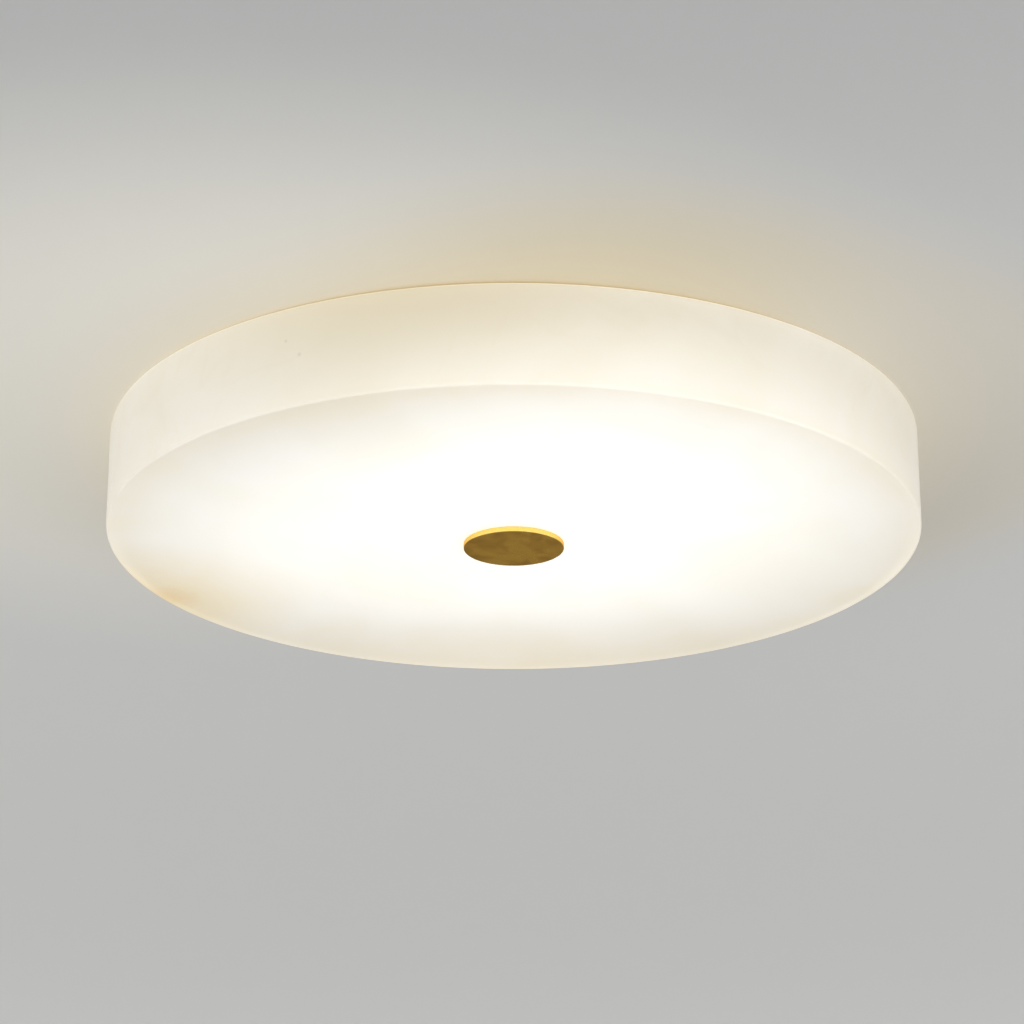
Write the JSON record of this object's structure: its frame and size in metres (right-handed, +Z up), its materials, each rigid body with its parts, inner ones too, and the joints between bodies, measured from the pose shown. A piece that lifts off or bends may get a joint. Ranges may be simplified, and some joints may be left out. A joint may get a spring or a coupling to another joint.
{
  "type": "flush ceiling light",
  "caption": "Round flush ceiling light: a turned alabaster drum clamped under a steel ceiling pan with an LED light engine, held by a brass finial that unscrews so the stone can be lowered.",
  "frame": {"origin": "centre of the light on the ceiling plane, midway between the two ceiling screw slots", "axes": "+Z up into the ceiling, +X along the crossbar's two screw slots"},
  "size_m": [0.5, 0.5, 0.0656],
  "materials": {
    "alabaster": "honed stone, lit from inside",
    "brass": "satin",
    "zinc_steel": "zinc plated",
    "white_steel": "powder coat",
    "board_white": "white solder mask",
    "chip_phosphor": "clear encapsulant",
    "rubber_grey": "matte",
    "silicone_clear": "matte",
    "nylon_white": "moulded",
    "driver_white": "moulded",
    "terminal_brass": "bright",
    "lead_brown": "extruded",
    "lead_blue": "extruded",
    "lead_green_yellow": "extruded",
    "lead_red": "extruded",
    "lead_black": "extruded"
  },
  "bodies": {
    "ceiling_frame": {"mounting_bracket": "zinc_steel", "bracket_studs": "zinc_steel", "pan_washers": "zinc_steel", "pan_cap_nuts": "zinc_steel", "ceiling_pan": "white_steel", "driver_studs": "zinc_steel", "earth_stud": "zinc_steel", "wire_grommet": "rubber_grey", "centre_rod": "zinc_steel", "rod_lock_nut": "zinc_steel", "seat_nut": "zinc_steel", "seat_washer": "zinc_steel", "seat_gasket": "silicone_clear", "board_screws": "zinc_steel", "board_connectors": "nylon_white", "jumper_leads": "lead_red", "driver_base": "driver_white", "driver_cover": "driver_white", "driver_nuts": "zinc_steel", "terminal_block": "nylon_white", "terminal_clamps": "terminal_brass", "terminal_screws": "zinc_steel", "terminal_fixing_screw": "zinc_steel", "earth_lug": "terminal_brass", "earth_nut": "zinc_steel", "earth_lead": "lead_green_yellow", "live_lead": "lead_brown", "neutral_lead": "lead_blue", "output_lead_positive": "lead_red", "output_lead_negative": "lead_black", "wire_clips": "nylon_white", "led_board_1": "board_white", "led_chips_1": "chip_phosphor", "led_board_2": "board_white", "led_chips_2": "chip_phosphor", "led_board_3": "board_white", "led_chips_3": "chip_phosphor", "led_board_4": "board_white", "led_chips_4": "chip_phosphor"},
    "shade": {"alabaster_shade": "alabaster", "shade_bush": "nylon_white"},
    "finial_gasket": {"finial_gasket": "silicone_clear"},
    "finial": {"finial": "brass"}
  },
  "joints": [
    {"name": "shade_lower", "type": "slide", "parent": "ceiling_frame", "child": "shade", "axis": [0, 0, -1], "range_m": [0, 0.09]},
    {"name": "finial_travel", "type": "slide", "parent": "shade", "child": "finial_gasket", "axis": [0, 0, -1], "range_m": [0, 0.00905]},
    {"name": "finial_turn", "type": "hinge", "parent": "finial_gasket", "child": "finial", "pos_m": [0, 0, -0.064], "axis": [0, 0, -1], "range_deg": [0, 3240]}
  ],
  "couplings": [
    {"joint": "finial_travel", "follows": "finial_turn", "m_per_rad": 0.00015915}
  ]
}
